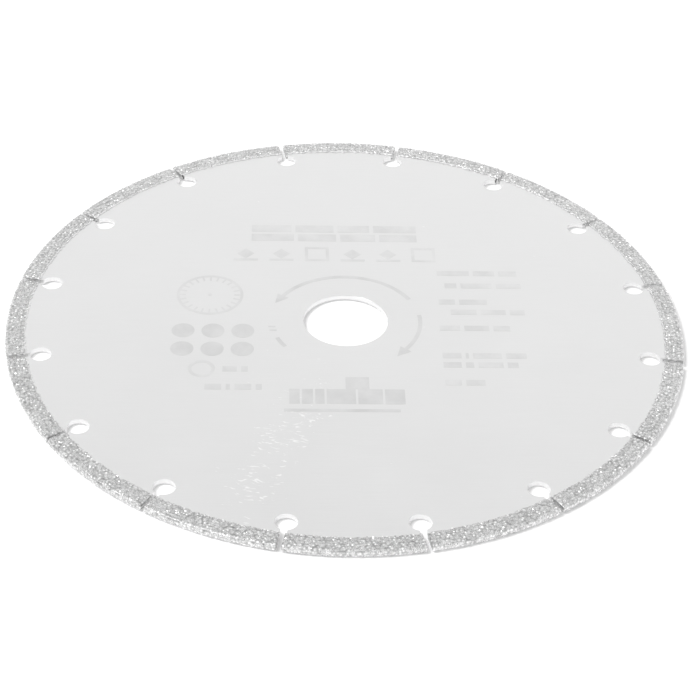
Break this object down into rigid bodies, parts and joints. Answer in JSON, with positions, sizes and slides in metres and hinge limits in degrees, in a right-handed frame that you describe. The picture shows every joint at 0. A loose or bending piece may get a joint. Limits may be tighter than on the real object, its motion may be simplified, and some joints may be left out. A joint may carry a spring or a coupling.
{
  "type": "diamond cutting blade",
  "caption": "Thin round diamond cutting disc: a flat steel core with a plain centre bore and keyhole slots, and a grit-coated nickel-bonded rim on every tooth.",
  "frame": {"origin": "centre of the bore, on the mid plane of the steel core", "axes": "+Z along the bore, out of the printed face; +X along the lines of print; the slots lie half a tooth either side of +X"},
  "size_m": [0.16, 0.16, 0.002],
  "materials": {
    "core_steel": "satin",
    "diamond_nickel": "matte",
    "grey_ink": "matte"
  },
  "bodies": {
    "root": {"steel_core": "core_steel", "diamond_rim_01": "diamond_nickel", "diamond_rim_02": "diamond_nickel", "diamond_rim_03": "diamond_nickel", "diamond_rim_04": "diamond_nickel", "diamond_rim_05": "diamond_nickel", "diamond_rim_06": "diamond_nickel", "diamond_rim_07": "diamond_nickel", "diamond_rim_08": "diamond_nickel", "diamond_rim_09": "diamond_nickel", "diamond_rim_10": "diamond_nickel", "diamond_rim_11": "diamond_nickel", "diamond_rim_12": "diamond_nickel", "diamond_rim_13": "diamond_nickel", "diamond_rim_14": "diamond_nickel", "diamond_rim_15": "diamond_nickel", "diamond_rim_16": "diamond_nickel", "print_arrows": "grey_ink", "print_dots": "grey_ink", "print_rings": "grey_ink", "print_title_bars": "grey_ink", "print_symbols": "grey_ink", "print_side_bars": "grey_ink", "print_panel": "grey_ink"}
  },
  "joints": []
}
